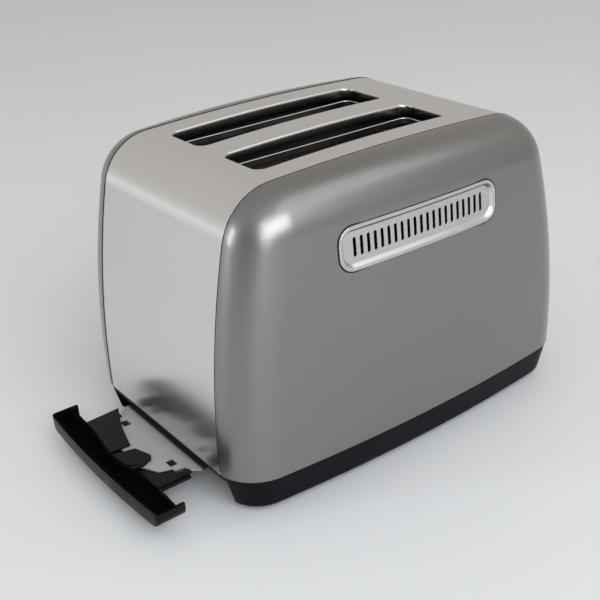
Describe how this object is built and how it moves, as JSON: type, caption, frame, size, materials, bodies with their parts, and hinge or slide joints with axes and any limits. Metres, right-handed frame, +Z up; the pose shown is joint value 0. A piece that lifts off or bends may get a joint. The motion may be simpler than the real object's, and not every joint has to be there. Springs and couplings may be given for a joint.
{
  "type": "two-slot toaster",
  "caption": "Arched steel toaster with two bread slots, vented domed sides, a pull-out crumb tray with a moulded handle, a lift lever, a browning dial and push buttons on a dark base.",
  "frame": {"origin": "on the surface that the toaster stands on, under the middle of its whole length with the tray as pictured, 17.1 mm from the middle of the body towards the tray", "axes": "+X along the body towards the lever and the dial, -X towards the crumb tray handle, +Y across the body, +Z up; the left nodes lie at -Y, which is the side that the picture shows"},
  "size_m": [0.3397, 0.206, 0.2],
  "materials": {
    "brushed": "fine brushed, satin",
    "panel": "polished, slightly smudged",
    "grille": "satin",
    "base_plastic": "moulded, satin",
    "handle_plastic": "moulded, semi-gloss",
    "rubber": "matte",
    "plated": "zinc plated",
    "tray_steel": "rolled sheet, satin",
    "chamber": "aluminised sheet, dulled by heat",
    "mica": "mica board",
    "heating_wire": "resistance ribbon, oxidised",
    "wire": "bright wire",
    "rod": "ground",
    "spring_steel": "spring steel",
    "brass": "turned",
    "iron": "laminated iron",
    "copper_coil": "enamelled copper winding",
    "circuit": "circuit board",
    "components": "moulded",
    "knob_plastic": "moulded, semi-gloss",
    "trim": "polished",
    "lens": "translucent",
    "ceramic": "glazed ceramic"
  },
  "bodies": {
    "housing": {"center_shell": "brushed", "left_side_panel": "panel", "right_side_panel": "panel", "left_vent_grille": "grille", "right_vent_grille": "grille", "base_housing": "base_plastic", "rubber_feet": "rubber", "base_screws": "plated", "tray_runners": "plated", "rear_end_plate": "chamber", "front_end_plate": "chamber", "left_reflector": "chamber", "right_reflector": "chamber", "slot_frame": "chamber", "guide_rods": "rod", "lift_springs": "spring_steel", "lever_slot_bezel": "trim", "magnet_core": "iron", "magnet_coils": "copper_coil", "control_board": "circuit", "board_components": "components", "browning_pot": "components", "dial_trim": "trim", "control_fascia": "handle_plastic", "indicator_lenses": "lens", "mains_terminal_block": "ceramic", "cord_gland": "handle_plastic", "left_outer_element_board": "mica", "left_outer_element_wire": "heating_wire", "left_inner_element_board": "mica", "left_inner_element_wire": "heating_wire", "right_outer_element_board": "mica", "right_outer_element_wire": "heating_wire", "right_inner_element_board": "mica", "right_inner_element_wire": "heating_wire"},
    "tray": {"crumb_tray": "tray_steel", "crumb_tray_handle": "handle_plastic"},
    "carriage": {"left_bread_rail": "plated", "right_bread_rail": "plated", "carriage_bracket": "plated", "guide_bushes": "brass", "armature_plate": "iron", "lift_lever_arm": "plated", "lift_lever_knob": "knob_plastic"},
    "browning_dial": {"browning_knob": "knob_plastic", "pot_shaft": "plated"},
    "left_outer_guard": {"left_outer_bread_guard": "wire"},
    "left_inner_guard": {"left_inner_bread_guard": "wire"},
    "right_outer_guard": {"right_outer_bread_guard": "wire"},
    "right_inner_guard": {"right_inner_bread_guard": "wire"},
    "reheat_key": {"reheat_button": "knob_plastic"},
    "bagel_key": {"bagel_button": "knob_plastic"},
    "defrost_key": {"defrost_button": "knob_plastic"},
    "cancel_key": {"cancel_button": "knob_plastic"}
  },
  "joints": [
    {"name": "crumb_tray_slide", "type": "slide", "parent": "housing", "child": "tray", "axis": [-1, 0, 0], "range_m": [-0.048, 0.13]},
    {"name": "lift_slide", "type": "slide", "parent": "housing", "child": "carriage", "axis": [0, 0, 1], "range_m": [-0.062, 0], "stiffness_N_per_m": 40, "springref_m": 0.1, "deforming": ["lift_springs"]},
    {"name": "browning_dial", "type": "hinge", "parent": "housing", "child": "browning_dial", "pos_m": [0.1471, 0, 0.054], "axis": [1, 0, 0], "range_deg": [-140, 140]},
    {"name": "left_outer_guard_slide", "type": "slide", "parent": "housing", "child": "left_outer_guard", "axis": [0, 1, 0], "range_m": [0, 0.0075]},
    {"name": "left_inner_guard_slide", "type": "slide", "parent": "housing", "child": "left_inner_guard", "axis": [0, 1, 0], "range_m": [-0.0075, 0]},
    {"name": "right_outer_guard_slide", "type": "slide", "parent": "housing", "child": "right_outer_guard", "axis": [0, 1, 0], "range_m": [-0.0075, 0]},
    {"name": "right_inner_guard_slide", "type": "slide", "parent": "housing", "child": "right_inner_guard", "axis": [0, 1, 0], "range_m": [0, 0.0075]},
    {"name": "reheat_press", "type": "slide", "parent": "housing", "child": "reheat_key", "axis": [-1, 0, 0], "range_m": [0, 0.0015], "stiffness_N_per_m": 400},
    {"name": "bagel_press", "type": "slide", "parent": "housing", "child": "bagel_key", "axis": [-1, 0, 0], "range_m": [0, 0.0015], "stiffness_N_per_m": 400},
    {"name": "defrost_press", "type": "slide", "parent": "housing", "child": "defrost_key", "axis": [-1, 0, 0], "range_m": [0, 0.0015], "stiffness_N_per_m": 400},
    {"name": "cancel_press", "type": "slide", "parent": "housing", "child": "cancel_key", "axis": [-1, 0, 0], "range_m": [0, 0.0015], "stiffness_N_per_m": 400}
  ],
  "couplings": [
    {"joint": "left_outer_guard_slide", "follows": "lift_slide", "ratio": -0.12},
    {"joint": "left_inner_guard_slide", "follows": "lift_slide", "ratio": 0.12},
    {"joint": "right_outer_guard_slide", "follows": "lift_slide", "ratio": 0.12},
    {"joint": "right_inner_guard_slide", "follows": "lift_slide", "ratio": -0.12}
  ]
}
